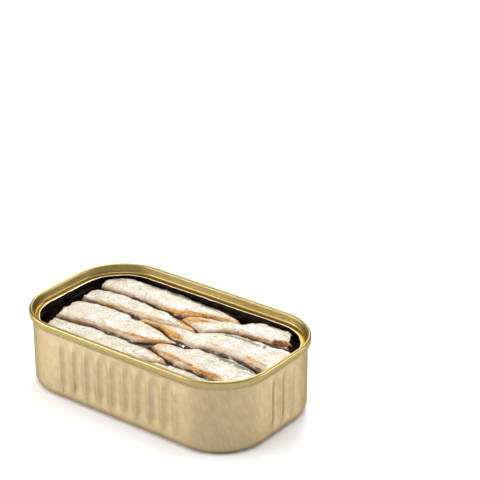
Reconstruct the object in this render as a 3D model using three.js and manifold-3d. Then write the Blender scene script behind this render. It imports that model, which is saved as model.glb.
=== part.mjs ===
// An opened sardine tin in millimetres, +Z up: a drawn can with ribbed walls, the seamed rim
// that stays when the lid is pulled off, eight sardines packed head to tail, and their oil.
// The origin is the middle of the underside, and +X runs along the tin.
import * as THREE from "three";
import { mergeVertices } from "three/addons/utils/BufferGeometryUtils.js";
import Module from "manifold-3d";

const wasm = await Module();
wasm.setup();

// The tin's outside, measured over the seam.
const tinLength = 105;
const tinWidth = 61.6;
const tinHeight = 30;
const cornerRadius = 21.1;

// The drawn can.
const wallInset = 1.2; // from the seam's outer face to the wall's
const sheet = 0.4;
const baseRadius = 3.3;
const footWidth = 5; // the flat band the tin stands on
const panelRise = 0.5; // how far the base panel is pressed up
const neckBottom = 25.9;
const neckTop = 26.9;
const flangeInset = 0.62;
const flangeTop = 28.9;

// The upright ribs of the walls: sharp crests with hollow flutes between them.
const ribRelief = 0.3; // a crest stands this far out of the plain wall, a flute this far in
const ribPitch = 6;
const ribShoulder = 2.5; // from the outermost crests to the plain wall
const ribBottom = 4.2;
const ribTop = 25.6;
const ribRunOut = 1.3;
const ribsOnLongSide = 10;
const ribsOnShortSide = 3;

// The seamed rim and the ledge that the torn lid leaves.
const seamThickness = 1.56;
const seamBottom = 27.5;
const skirtTuck = 0.14; // how far the skirt's lower edge is rolled in
const ledgeHeight = 26.4;
const ledgeInset = 3.95;
const ledgeSheet = 0.26;
const lidSheet = 0.36;
// The fold between the seam and the ledge, as insets from the seam's inner face and heights: down
// its upper face, then up its lower face.
const foldAbove = [[0.06, 28.3], [0.2, 27.2], [0.5, 26.7], [0.95, 26.5]];
const foldBelow = [[0.8, 26.2], [0.25, 26.5], [-0.06, 27.1], [-0.26, 28.3]];

// The filling.
const clearance = 0.3;
const fillingInset = wallInset + sheet + ribRelief + clearance; // clear of the flutes inside
const oilLevel = 21;
const oilKnee = 2; // the rounding of the oil's lower edge
const fishGap = 0.5;

// Each sardine from its cut end to its tail: where both lie along the tin, the spine's place
// across the tin at the cut, halfway and at the tail, the half width, the crown's height, the
// depth, the share of the length that the body takes before the thin tail, and the cut's slant.
// They lie in this order from the back wall to the front wall.
const sardines = [
  { name: "sardine_left_1", cutX: -46.2, tailX: 16.5, acrossCut: 19.5, acrossMiddle: 22,
    acrossTail: 22.3, halfWidth: 6.8, crown: 25.55, depth: 11.5, bodyShare: 1, slant: -0.25 },
  { name: "sardine_right_1", cutX: 39.5, tailX: -4.5, acrossCut: 21.8, acrossMiddle: 19.8,
    acrossTail: 12.8, halfWidth: 6.2, crown: 25.5, depth: 10.5, bodyShare: 1, slant: -0.5 },
  { name: "sardine_left_2", cutX: -44.6, tailX: 7, acrossCut: 7.8, acrossMiddle: 8.7,
    acrossTail: 7.2, halfWidth: 5.8, crown: 25.3, depth: 11.5, bodyShare: 1, slant: 0.1 },
  { name: "sardine_right_2", cutX: 48.6, tailX: -16.5, acrossCut: 6.6, acrossMiddle: 6.4,
    acrossTail: 2.6, halfWidth: 9, crown: 25.6, depth: 12, bodyShare: 0.85, slant: 0 },
  { name: "sardine_left_3", cutX: -43.2, tailX: 11.5, acrossCut: -6.6, acrossMiddle: -3.8,
    acrossTail: -4.6, halfWidth: 9, crown: 25.6, depth: 12, bodyShare: 0.85, slant: -0.12 },
  { name: "sardine_right_3", cutX: 46.5, tailX: 0, acrossCut: -11.5, acrossMiddle: -7.7,
    acrossTail: -9.6, halfWidth: 7.4, crown: 25.5, depth: 11.5, bodyShare: 1, slant: 0.15 },
  { name: "sardine_left_4", cutX: -39.8, tailX: 12.5, acrossCut: -21.6, acrossMiddle: -18.8,
    acrossTail: -16.6, halfWidth: 7.2, crown: 25.3, depth: 11, bodyShare: 1, slant: -0.25 },
  { name: "sardine_right_4", cutX: 40, tailX: 1, acrossCut: -24.8, acrossMiddle: -22.4,
    acrossTail: -23.4, halfWidth: 5.4, crown: 25.2, depth: 11, bodyShare: 1, slant: 0.2 },
];
const tailHalfWidth = 1.1;
const tailDrop = 1.6; // how far a tail's crown dips below the body's
const tailDepthShare = 0.3; // a tail's depth as a share of the body's
const depthTaper = 0.6;
const wave = { height: 0.12, length: 23, shift: 0.37 }; // the slow rise and fall of each back
const bodyTaper = 3;
const neckNarrowing = 0.1; // how much narrower the cut end is than the body
const sectionPower = 3.2; // 2 is an ellipse, more is squarer, as pressed fish are
const stationSpacing = 4.6; // between two sections along a sardine
const yieldLength = 30; // how far past a sardine's tip its neighbours still bend round it
const yieldSlope = 0.6; // how fast they close in behind the tip
const mostSpread = 5.5; // how far a body sinks forwards where its neighbour leaves it room
const endBulge = 0.5; // how far the cut face and the tip stand out from the last sections
const cutFaceShare = 0.6;
const tipShare = 0.5;
const topAngles = [0, 20, 42, 66, 90, 114, 138, 160, 180]; // finer over the back that shows
const bottomAngles = [215, 270, 325];

// The dark strip of gut that lies along the open belly of the first sardine on the right.
const gutStrip = { x: 38.9, across: 17.4, height: 24.6, turn: 7 };
const gutHalfSize = [3.9, 1.3, 1];

const cornerSteps = 8;

// A closed triangle mesh from a grid of rings, each as long as the others, joined in order.
// The rings run counter-clockwise seen from above as they rise, so the faces point outwards.
function loft(rings, { closed = false } = {}) {
  const count = rings[0].length;
  const positions = rings.flat(2);
  const index = [];
  const last = closed ? rings.length : rings.length - 1;
  for (let i = 0; i < last; i++) {
    const next = (i + 1) % rings.length;
    for (let j = 0; j < count; j++) {
      const k = (j + 1) % count;
      const a = i * count + j;
      const b = i * count + k;
      const c = next * count + k;
      const d = next * count + j;
      index.push(a, b, c, a, c, d);
    }
  }
  if (!closed) {
    for (const [ring, turned] of [[0, true], [rings.length - 1, false]]) {
      const middle = positions.length / 3;
      const centre = [0, 1, 2].map((axis) => rings[ring].reduce((sum, p) => sum + p[axis], 0) / count);
      positions.push(...centre);
      for (let j = 0; j < count; j++) {
        const a = ring * count + j;
        const b = ring * count + ((j + 1) % count);
        index.push(...(turned ? [middle, b, a] : [middle, a, b]));
      }
    }
  }
  const geometry = new THREE.BufferGeometry();
  geometry.setAttribute("position", new THREE.Float32BufferAttribute(positions, 3));
  geometry.setIndex(index);
  return geometry;
}

function solidOf(geometry) {
  const bare = geometry.clone();
  bare.deleteAttribute("normal");
  bare.deleteAttribute("uv");
  const merged = mergeVertices(bare, 1e-4);
  return new wasm.Manifold(new wasm.Mesh({
    numProp: 3,
    vertProperties: new Float32Array(merged.attributes.position.array),
    triVerts: new Uint32Array(merged.index.array),
  }));
}

function geometryOf(solid) {
  const mesh = solid.getMesh();
  const positions = new Float32Array(mesh.numVert * 3);
  for (let i = 0; i < mesh.numVert; i++) {
    positions.set(mesh.vertProperties.subarray(i * mesh.numProp, i * mesh.numProp + 3), i * 3);
  }
  const geometry = new THREE.BufferGeometry();
  geometry.setAttribute("position", new THREE.BufferAttribute(positions, 3));
  geometry.setIndex(new THREE.BufferAttribute(new Uint32Array(mesh.triVerts), 1));
  geometry.computeVertexNormals();
  return geometry;
}

// The places along a side where its ribs bend, with how far out each one is, from -1 in a flute
// over 0 on the plain wall to 1 on a crest. A flute's section is a quarter of a sine each way.
function ribMarks(count) {
  const first = (-(count - 1) / 2) * ribPitch;
  const marks = [[first - ribShoulder, 0]];
  for (let rib = 0; rib < count; rib++) {
    for (const share of rib < count - 1 ? [0, 0.2, 0.5, 0.8] : [0]) {
      marks.push([first + (rib + share) * ribPitch, 1 - 2 * Math.sin(share * Math.PI)]);
    }
  }
  marks.push([-first + ribShoulder, 0]);
  return marks;
}

// The tin's outline seen from above, as points with their outward normals and their rib marks.
function outline(steps, withRibs) {
  const flatX = tinLength / 2 - cornerRadius;
  const flatY = tinWidth / 2 - cornerRadius;
  const sides = [
    { normal: [1, 0], along: [0, 1], centre: [tinLength / 2, 0], ribs: ribsOnShortSide },
    { normal: [0, 1], along: [-1, 0], centre: [0, tinWidth / 2], ribs: ribsOnLongSide },
    { normal: [-1, 0], along: [0, -1], centre: [-tinLength / 2, 0], ribs: ribsOnShortSide },
    { normal: [0, -1], along: [1, 0], centre: [0, -tinWidth / 2], ribs: ribsOnLongSide },
  ];
  const corners = [[flatX, flatY], [-flatX, flatY], [-flatX, -flatY], [flatX, -flatY]];
  const points = [];
  sides.forEach((side, turn) => {
    for (const [place, rise] of withRibs ? ribMarks(side.ribs) : []) {
      points.push({
        x: side.centre[0] + side.along[0] * place,
        y: side.centre[1] + side.along[1] * place,
        normal: side.normal,
        rise,
      });
    }
    for (let step = 0; step <= steps; step++) {
      const angle = (turn + step / steps) * (Math.PI / 2);
      const normal = [Math.cos(angle), Math.sin(angle)];
      points.push({
        x: corners[turn][0] + cornerRadius * normal[0],
        y: corners[turn][1] + cornerRadius * normal[1],
        normal,
        rise: 0,
      });
    }
  });
  return points;
}

// One ring of the outline, moved inwards by inset, at a height, with its ribs up to a share.
function ringAt(points, inset, height, ribShare = 0) {
  return points.map(({ x, y, normal, rise }) => {
    const out = rise * ribShare * ribRelief - inset;
    return [x + normal[0] * out, y + normal[1] * out, height];
  });
}

function arc(centre, radius, from, to, steps) {
  return Array.from({ length: steps + 1 }, (_, i) => {
    const angle = THREE.MathUtils.degToRad(from + ((to - from) * i) / steps);
    return [centre[0] + radius * Math.cos(angle), centre[1] + radius * Math.sin(angle)];
  });
}

function canBody() {
  const ribbed = outline(cornerSteps, true);
  const plain = outline(cornerSteps, false);
  const foot = wallInset + baseRadius;
  const knee = arc([foot, baseRadius], -baseRadius, 90, 0, 3); // inset and height round the base edge
  const outside = [
    ringAt(ribbed, foot + footWidth + panelRise, panelRise),
    ringAt(ribbed, foot + footWidth, 0),
    ...knee.map(([inset, height]) => ringAt(ribbed, inset, height)),
    ringAt(ribbed, wallInset, ribBottom),
    ringAt(ribbed, wallInset, ribBottom + ribRunOut, 1),
    ringAt(ribbed, wallInset, ribTop - ribRunOut, 1),
    ringAt(ribbed, wallInset, ribTop),
    ringAt(ribbed, wallInset, neckBottom),
    ringAt(ribbed, flangeInset, neckTop),
    ringAt(ribbed, flangeInset, flangeTop),
  ];
  const floor = panelRise + sheet;
  const innerRadius = baseRadius - floor;
  const innerKnee = arc([wallInset + sheet + innerRadius, floor + innerRadius], -innerRadius, 90, 0, 2);
  const inside = [
    ...innerKnee.map(([inset, height]) => ringAt(plain, inset, height)),
    ringAt(plain, wallInset + sheet, neckBottom),
    ringAt(plain, flangeInset + sheet, neckTop),
    ringAt(plain, flangeInset + sheet, flangeTop + 1),
  ];
  return geometryOf(solidOf(loft(outside)).subtract(solidOf(loft(inside))));
}

// The rim's section as insets and heights, in order round it: the skirt, the rounded crown,
// the wall that leads down to the ledge, the ledge's torn edge, and back up inside the seam.
function rimSection() {
  const half = seamThickness / 2;
  const crownCentre = [half, tinHeight - half];
  const fromSeam = ([inset, height]) => [seamThickness + inset, height];
  const outer = [
    [skirtTuck, seamBottom],
    [0, seamBottom + 2 * skirtTuck],
    ...arc(crownCentre, half, 180, 0, 6),
    ...foldAbove.map(fromSeam),
    [ledgeInset, ledgeHeight],
  ];
  const inner = [
    [ledgeInset, ledgeHeight - ledgeSheet],
    ...foldBelow.map(fromSeam),
    ...arc(crownCentre, half - lidSheet, 0, 180, 3),
    [lidSheet, seamBottom + skirtTuck],
  ];
  return [...outer, ...inner];
}

function rim() {
  const points = outline(cornerSteps, false);
  const rings = rimSection().map(([inset, height]) => ringAt(points, inset, height));
  return loft(rings, { closed: true });
}

// How far from the middle the filling may reach at a place along the tin.
function innerWallAcross(x) {
  const radius = cornerRadius - fillingInset;
  const beyond = Math.max(0, Math.abs(x) - (tinLength / 2 - cornerRadius));
  const drop = radius - Math.sqrt(Math.max(0, radius * radius - beyond * beyond));
  return tinWidth / 2 - fillingInset - drop;
}

// A sardine at a place along it: its spine's place across the tin, its free half width, how
// full its body is there, from 1 at the cut to 0 at the tail, and how far past its end the place
// lies. The spine is a parabola through its three places.
function fishAt(fish, x) {
  const u = (x - fish.cutX) / (fish.tailX - fish.cutX);
  const past = Math.max(-u, u - 1, 0) * Math.abs(fish.tailX - fish.cutX);
  const t = THREE.MathUtils.clamp(u, 0, 1);
  const across =
    fish.acrossCut * (1 - t) * (1 - 2 * t) +
    fish.acrossMiddle * 4 * t * (1 - t) +
    fish.acrossTail * t * (2 * t - 1);
  const body = 1 - Math.min(1, t / fish.bodyShare) ** bodyTaper;
  const neck = 1 - neckNarrowing * Math.max(0, 1 - t / 0.25) ** 2;
  const halfWidth = tailHalfWidth + (fish.halfWidth - tailHalfWidth) * body * neck;
  return { across, halfWidth, body, past };
}

// How far back a sardine reaches at a place along the tin: its free edge, the wall, or its share
// of the space between its spine and that of one behind it, by their half widths.
function backEdge(order, x) {
  const own = fishAt(sardines[order], x);
  let back = Math.min(own.across + own.halfWidth, innerWallAcross(x));
  sardines.slice(0, order).forEach((fish) => {
    const other = fishAt(fish, x);
    if (other.past > yieldLength) return;
    const share = own.halfWidth / (own.halfWidth + other.halfWidth);
    const room = yieldSlope * Math.max(0, other.past - stationSpacing) - fishGap / 2;
    back = Math.min(back, own.across + (other.across - own.across) * share + room);
  });
  return back;
}

// Where a sardine's two edges lie at a place along the tin. It spreads forwards as far as it can,
// and stops short of those in front of it.
function pressedEdges(order, x) {
  const own = fishAt(sardines[order], x);
  const spread = mostSpread * Math.min(1, own.body * 3);
  let front = Math.max(own.across - own.halfWidth - spread, -innerWallAcross(x));
  sardines.forEach((fish, place) => {
    const { past } = fishAt(fish, x);
    if (place <= order || past > yieldLength) return;
    const room = yieldSlope * Math.max(0, past - stationSpacing) - fishGap;
    front = Math.max(front, backEdge(place, x) - room);
  });
  return { back: backEdge(order, x), front, body: own.body };
}

// Squares off a circle's sine or cosine, so that a section is a pressed oval.
function squared(value) {
  return Math.sign(value) * Math.abs(value) ** (2 / sectionPower);
}

// One ring of a sardine's section, shrunk by a scale and then moved outwards all round.
function fishRing(order, x, scale, grow) {
  const fish = sardines[order];
  const { back, front, body } = pressedEdges(order, x);
  const spine = (back + front) / 2;
  const halfWidth = ((back - front) / 2) * scale + grow;
  const halfDepth = (fish.depth / 2) * (tailDepthShare + (1 - tailDepthShare) * body ** depthTaper);
  const phase = x / wave.length + order * wave.shift;
  const swell = wave.height * (Math.sin(phase * Math.PI * 2) - 1);
  const middle = fish.crown + swell - tailDrop * (1 - body) - halfDepth;
  const reach = halfDepth * scale + grow;
  return [...topAngles, ...bottomAngles].map((degrees) => {
    const angle = THREE.MathUtils.degToRad(degrees);
    return [x, spine + squared(Math.cos(angle)) * halfWidth, middle + squared(Math.sin(angle)) * reach];
  });
}

// A sardine with its faces moved outwards by grow. Its sections stand at places shared with its
// neighbours, so that two that lie close stay apart all the way.
function sardine(order, grow = 0) {
  const fish = sardines[order];
  const heading = Math.sign(fish.tailX - fish.cutX);
  const low = Math.min(fish.cutX, fish.tailX);
  const high = Math.max(fish.cutX, fish.tailX);
  const stations = [low];
  const margin = stationSpacing / 2 + Math.abs(fish.slant) * fish.halfWidth;
  const first = Math.ceil((low + margin) / stationSpacing) * stationSpacing;
  for (let x = first; x < high - margin; x += stationSpacing) stations.push(x);
  stations.push(high);
  if (heading < 0) stations.reverse();
  const rings = stations.map((x) => fishRing(order, x, 1, grow));
  const bulge = endBulge + grow;
  const slanted = (ring, shift) => ring.map(([x, y, z]) => {
    const moved = x + fish.slant * (y - fish.acrossCut) + shift;
    const room = innerWallAcross(Math.abs(moved) - grow) + grow;
    return [moved, THREE.MathUtils.clamp(y, -room, room), z];
  });
  rings[0] = slanted(rings[0], 0);
  rings.unshift(slanted(fishRing(order, fish.cutX, cutFaceShare, grow), -heading * bulge));
  const tip = fishRing(order, fish.tailX, tipShare, grow);
  rings.push(tip.map(([x, y, z]) => [x + heading * bulge, y, z]));
  // A section turns from the back wall up over the top, so its faces look out on a run to +X.
  return loft(heading < 0 ? rings.reverse() : rings);
}

function gut(grow = 0) {
  const { x, across, height, turn } = gutStrip;
  const ball = new THREE.SphereGeometry(1, 10, 6);
  ball.scale(...gutHalfSize.map((size) => size + grow));
  ball.rotateZ(THREE.MathUtils.degToRad(turn));
  ball.translate(x, across, height);
  return ball;
}

// The sardines as solids, with the gut strip fused to the first one on the right.
function sardineSolid(order, grow = 0) {
  const solid = solidOf(sardine(order, grow));
  return sardines[order].name === "sardine_right_1" ? solid.add(solidOf(gut(grow))) : solid;
}

function oil() {
  const points = outline(cornerSteps, false);
  const floor = panelRise + sheet + clearance;
  const knee = arc([fillingInset + oilKnee, floor + oilKnee], -oilKnee, 90, 0, 2);
  const rings = [
    ...knee.map(([inset, height]) => ringAt(points, inset, height)),
    ringAt(points, fillingInset, oilLevel),
  ];
  const fish = sardines.map((_, order) => sardineSolid(order, clearance));
  const pools = solidOf(loft(rings)).subtract(wasm.Manifold.union(fish)).decompose();
  // Two fish that lie close all the way can cut off a sliver, and only the main body is kept.
  pools.sort((a, b) => b.volume() - a.volume());
  return geometryOf(pools[0]);
}

function material(name, color, roughness, metalness) {
  return new THREE.MeshStandardMaterial({ name, color, roughness, metalness });
}

const goldLacquer = material("gold_lacquer", "#c3b07a", 0.42, 0.85);
const goldRim = material("gold_rim", "#c9a94e", 0.3, 0.9);
const fishSkin = material("sardine_skin", "#ddd3c4", 0.38, 0.15);
const darkOil = material("oil", "#2a1a0c", 0.08, 0);

const group = new THREE.Group();
function add(name, geometry, finish) {
  const mesh = new THREE.Mesh(geometry, finish);
  mesh.name = name;
  group.add(mesh);
}

add("can_body", canBody(), goldLacquer);
add("rim", rim(), goldRim);
sardines.forEach((fish, order) => add(fish.name, geometryOf(sardineSolid(order)), fishSkin));
add("oil", oil(), darkOil);

export default group;
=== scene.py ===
# %% [markdown]
# # An opened tin of sardines
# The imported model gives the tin, its torn lid's rim, eight fish and the oil at their real size.
# This lesson gives each of them the surface that the real one has. Every shape here is an array
# of points worked out with numpy, in millimetres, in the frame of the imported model: X runs along
# the tin, Y across it towards the back wall, and Z is up from the floor.

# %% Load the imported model
from collections import namedtuple

import bpy
import numpy as np
from mathutils import Matrix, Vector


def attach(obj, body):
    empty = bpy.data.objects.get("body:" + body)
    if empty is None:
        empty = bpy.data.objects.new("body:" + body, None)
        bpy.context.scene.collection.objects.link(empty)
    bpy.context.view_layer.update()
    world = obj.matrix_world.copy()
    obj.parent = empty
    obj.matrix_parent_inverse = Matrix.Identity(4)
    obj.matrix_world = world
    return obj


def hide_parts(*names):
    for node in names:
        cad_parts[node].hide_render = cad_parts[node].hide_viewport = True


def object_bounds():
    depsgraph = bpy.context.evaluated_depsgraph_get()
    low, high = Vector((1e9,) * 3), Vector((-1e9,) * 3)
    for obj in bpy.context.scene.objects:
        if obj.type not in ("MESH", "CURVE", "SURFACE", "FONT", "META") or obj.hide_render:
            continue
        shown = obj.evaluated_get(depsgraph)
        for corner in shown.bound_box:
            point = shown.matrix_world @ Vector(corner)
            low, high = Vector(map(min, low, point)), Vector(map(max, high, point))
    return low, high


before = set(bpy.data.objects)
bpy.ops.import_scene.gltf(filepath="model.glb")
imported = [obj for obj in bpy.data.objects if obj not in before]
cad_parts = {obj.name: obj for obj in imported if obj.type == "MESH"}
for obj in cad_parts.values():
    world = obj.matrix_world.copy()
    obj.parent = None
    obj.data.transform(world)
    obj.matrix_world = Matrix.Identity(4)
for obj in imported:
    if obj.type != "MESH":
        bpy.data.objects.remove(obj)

MM = 0.001
cad_low, cad_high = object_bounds()
print("nodes:", sorted(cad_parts))

# %% [markdown]
# ## The camera
# A long lens looks down on the front right corner. A camera can be placed by hand in the viewport,
# but three turns, a distance and a slide are easier to read and to correct: the camera stands back
# from the tin's origin along one direction, and slides sideways and up in its own picture plane.

# %% Place the camera
view_turn = np.radians(37.148)
view_height = np.radians(24.482)
view_roll = np.radians(0.058)
stand_off = 631.34
slide_right = 26.27
slide_up = 55.89
lens = 127.12


def stand(thing, sideways, upright, backwards, spot):
    """Puts a camera or a lamp at a point in millimetres, with three directions as its axes. Both
    kinds look the other way from their third axis."""
    turned = Matrix.Identity(4)
    for column, direction in enumerate((sideways, upright, backwards, spot * MM)):
        for row in range(3):
            turned[row][column] = direction[row]
    thing.matrix_world = turned


away = np.array([
    np.sin(view_turn) * np.cos(view_height),
    -np.cos(view_turn) * np.cos(view_height),
    np.sin(view_height),
])
level = np.array([np.cos(view_turn), np.sin(view_turn), 0])
upward = np.cross(away, level)
right = np.cos(view_roll) * level + np.sin(view_roll) * upward
top = -np.sin(view_roll) * level + np.cos(view_roll) * upward
camera_spot = stand_off * away + slide_right * level + slide_up * upward

camera_data = bpy.data.cameras.new("camera")
camera_data.lens = lens
camera = bpy.data.objects.new("camera", camera_data)
bpy.context.scene.collection.objects.link(camera)
bpy.context.scene.camera = camera
stand(camera, right, top, away, camera_spot)
print("camera at", camera_spot.round(1), "mm")

# %% [markdown]
# ## From arrays to meshes
# A mesh can be typed in point by point, but a shape that follows a rule is better as an array with
# one row for each section and one column for each place round it. The faces then come from the
# array's own numbering, and one signed volume tells whether they point outwards.

# %% Turn arrays into meshes
def add_mesh(name, points, faces, fields=None):
    """Makes an object from an array of points in millimetres and a list of face arrays.

    The signed volume is the sum of a . (b x c) / 6 over the triangles of a fan in each face. Where
    it is negative the faces point inwards, and all of them are turned round.
    """
    points = np.asarray(points, float)
    volume = 0.0
    for face in faces:
        for corner in range(1, face.shape[1] - 1):
            a, b, c = (points[face[:, place]] for place in (0, corner, corner + 1))
            volume += np.einsum("ij,ij->", a, np.cross(b, c)) / 6
    if volume < 0:
        faces = [face[:, ::-1] for face in faces]
    corners = np.concatenate([face.ravel() for face in faces])
    sizes = np.concatenate([np.full(len(face), face.shape[1]) for face in faces])
    mesh = bpy.data.meshes.new(name)
    mesh.vertices.add(len(points))
    mesh.vertices.foreach_set("co", (points * MM).astype(np.float32).ravel())
    mesh.loops.add(len(corners))
    mesh.loops.foreach_set("vertex_index", corners.astype(np.int32))
    mesh.polygons.add(len(sizes))
    mesh.polygons.foreach_set("loop_start", (np.cumsum(sizes) - sizes).astype(np.int32))
    mesh.polygons.foreach_set("use_smooth", np.ones(len(sizes), bool))
    mesh.update(calc_edges=True)
    mesh.validate()
    for field, values in (fields or {}).items():
        layer = mesh.attributes.new(field, "FLOAT", "POINT")
        layer.data.foreach_set("value", np.asarray(values, np.float32).ravel())
    piece = bpy.data.objects.new(name, mesh)
    bpy.context.scene.collection.objects.link(piece)
    print(f"{name}: {len(points)} points, volume {abs(volume) / 1000:.2f} cm3")
    return piece


def strips(rows, columns, wrap_rows=False, wrap_columns=True):
    """The four-cornered faces between the points of a grid, numbered row by row."""
    i = np.arange(rows if wrap_rows else rows - 1)
    j = np.arange(columns if wrap_columns else columns - 1)
    i, j = (side.ravel() for side in np.meshgrid(i, j, indexing="ij"))
    next_i = (i + 1) % rows
    next_j = (j + 1) % columns
    return np.stack(
        [i * columns + j, i * columns + next_j, next_i * columns + next_j, next_i * columns + j], 1
    )


def add_tube(name, grid, fields=None, ring=False):
    """Makes a closed piece from a grid of sections, each one a loop of points.

    A ring joins its last section to its first. Otherwise a fan of triangles round the middle of
    the first and of the last section closes the ends, and each field gets its mean there.
    """
    rows, columns = grid.shape[:2]
    points = grid.reshape(-1, 3)
    faces = [strips(rows, columns, wrap_rows=ring)]
    fields = {
        field: np.broadcast_to(values, (rows, columns))
        for field, values in (fields or {}).items()
    }
    if not ring:
        around = np.arange(columns)
        onward = (around + 1) % columns
        last = (rows - 1) * columns
        middle = rows * columns
        points = np.concatenate([points, grid[[0, -1]].mean(1)])
        faces.append(np.concatenate([
            np.stack([np.full(columns, middle), onward, around], 1),
            np.stack([np.full(columns, middle + 1), last + around, last + onward], 1),
        ]))
        fields = {
            field: np.concatenate([values.ravel(), values[[0, -1]].mean(1)])
            for field, values in fields.items()
        }
    return add_mesh(name, points, faces, fields)


# %% [markdown]
# ## Unevenness without a texture
# Nothing in this tin is quite straight. Blender's own noise could move the points through a
# Displace modifier, but a sum of plane waves in random directions does the same in two lines,
# gives the same result every time, and can be read back as a number at any place.

# %% Smooth noise and soft steps
def ripple(points, size, seed, waves=24):
    """Smooth noise of about -1 to 1: plane waves of a given size in random directions, summed."""
    draw = np.random.default_rng(seed)
    heading = draw.normal(size=(waves, 3))
    heading /= np.linalg.norm(heading, axis=1, keepdims=True)
    steps = heading / (size * draw.uniform(0.7, 1.5, (waves, 1)))
    phase = draw.uniform(0, 2 * np.pi, waves)
    total = np.sin(2 * np.pi * (points @ steps.T) + phase).sum(-1)
    return total / np.sqrt(waves)


def soft_step(value, low, high):
    """0 below low, 1 above high, and a smooth S between them."""
    share = np.clip((value - low) / (high - low), 0, 1)
    return share * share * (3 - 2 * share)


# %% [markdown]
# ## The tin's outline
# Can, rim and oil all follow one rounded oblong seen from above. An inset moves it inwards along
# its normals, so that every wall, fold and edge of the tin is a pair of numbers: how far in from
# the seam's outer face, and how high above the floor.

# %% The rounded oblong
tin_length, tin_width, tin_height = (cad_high - cad_low) / MM
corner_radius = 21.1
flat_x = tin_length / 2 - corner_radius
flat_y = tin_width / 2 - corner_radius


def oblong(count):
    """Points and normals of the outline at even steps. Its four straights and four quarter
    circles are one closed path, and a place on it is found from the length travelled."""
    quarter = corner_radius * np.pi / 2
    lengths = np.array([2 * flat_y, quarter, 2 * flat_x, quarter] * 2)
    ends = np.cumsum(lengths)
    travelled = (np.arange(count) + 0.5) / count * ends[-1]
    part = np.searchsorted(ends, travelled)
    share = (travelled - (ends - lengths)[part]) / lengths[part]
    turn = np.where(part % 2 == 1, part // 2 + share, (part // 2) % 4) * np.pi / 2
    straight = np.where(part % 2 == 1, 0, share - 0.5) * lengths[part]
    normal = np.stack([np.cos(turn), np.sin(turn)], -1)
    sign_x = np.where(np.isin(part, (0, 1, 7)), 1, np.where(np.isin(part, (3, 4, 5)), -1, 0))
    sign_y = np.where(np.isin(part, (1, 2, 3)), 1, np.where(np.isin(part, (5, 6, 7)), -1, 0))
    middle = np.stack([sign_x * flat_x, sign_y * flat_y], -1)
    tangent = np.stack([-normal[:, 1], normal[:, 0]], -1)
    return middle + corner_radius * normal + tangent * straight[:, None], normal, travelled


def swept(profile, count):
    """Carries a profile of insets and heights round the outline: rows of profile points, and
    columns of places round the tin."""
    outline, normal, travelled = oblong(count)
    inset, height = np.asarray(profile, float).T
    flat = outline[None] - normal[None] * inset[:, None, None]
    grid = np.concatenate([flat, np.broadcast_to(height[:, None, None], flat.shape[:2] + (1,))], -1)
    return grid, normal, travelled


def fine(profile, step):
    """A profile with extra points, so that no step along it is longer than the given one."""
    profile = np.asarray(profile, float)
    reach = np.concatenate([[0], np.cumsum(np.linalg.norm(np.diff(profile, axis=0), axis=1))])
    places = np.concatenate([
        np.linspace(a, b, max(1, int(np.ceil((b - a) / step))), endpoint=False)
        for a, b in zip(reach[:-1], reach[1:])
    ] + [reach[-1:]])
    return np.stack([np.interp(places, reach, side) for side in profile.T], 1)


def arc(centre, radius, start, end, count):
    """Points of a circular arc as insets and heights, from one angle to another in degrees."""
    angle = np.radians(np.linspace(start, end, count))
    return np.stack([centre[0] + radius * np.cos(angle), centre[1] + radius * np.sin(angle)], 1)


print(f"way round the tin: {oblong(1)[2][0] * 2:.1f} mm")

# %% [markdown]
# ## The ribs
# Each long side of the can has ten upright crests with hollow flutes between them, and each end
# has three. A flute could be cut with a Boolean, but its section is a sine, so a number that is
# added to the wall's place is enough.

# %% The ribs' relief
rib_relief = 0.34
rib_pitch = 6.0
rib_shoulder = 2.5
rib_count_long = 10
rib_count_short = 3
rib_foot = (3.0, 8.6)  # the heights between which the ribs fade in
rib_head = (20.0, 25.4)  # and those between which they fade out
rib_arch = 0.4
straight_on = 0.9999


def rib_section(across, count):
    """How far out a ribbed side stands at a place along it, from -1 in a flute to 1 on a crest.

    Between two crests it is 1 - 2 sin(pi d / pitch) at a distance d from the nearest crest, and
    past the last crest it falls to the plain wall as 1 - sin over the shoulder's width.
    """
    last = (count - 1) / 2 * rib_pitch
    beyond = np.abs(across) - last
    nearest = np.abs((across + last + rib_pitch / 2) % rib_pitch - rib_pitch / 2)
    between = 1 - 2 * np.sin(np.pi * nearest / rib_pitch)
    shoulder = 1 - np.sin(np.pi / 2 * np.clip(beyond / rib_shoulder, 0, 1))
    return np.where(beyond > 0, shoulder, between)


def rib_relief_at(grid, normal):
    """The ribs' height at each point of the wall. A flute's head is an arch, so it ends lower
    beside its crests than in its middle."""
    long_side = np.abs(normal[:, 1]) > straight_on
    short_side = np.abs(normal[:, 0]) > straight_on
    section_long = rib_section(grid[..., 0], rib_count_long)
    section_short = rib_section(grid[..., 1], rib_count_short)
    section = np.where(long_side, section_long, np.where(short_side, section_short, 0))
    height = grid[..., 2]
    arched = height + rib_arch * np.clip(section, -1, 1)
    shown = soft_step(height, *rib_foot) * (1 - soft_step(arched, *rib_head))
    return rib_relief * section * shown


print("relief on a crest and in a flute:", rib_relief * rib_section(np.array([3, 0]), 10))

# %% [markdown]
# ## The drawn can
# The can is drawn from one sheet, so its wall, base edge and foot are one skin. Its profile comes
# up the outer face from the base, turns over at the flange and goes down inside. The ribs and a
# few soft dents are then added to the upright wall alone.

# %% Draw the can
sheet = 0.32
wall_inset = 1.2
inner_face = wall_inset + sheet
base_radius = 3.3
foot_inset = wall_inset + base_radius
foot_width = 5
panel_inset = 24
panel_rise = 0.5
neck_foot = 25.9
neck_head = 26.9
flange_inset = 0.62
flange_top = 28.9

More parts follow.
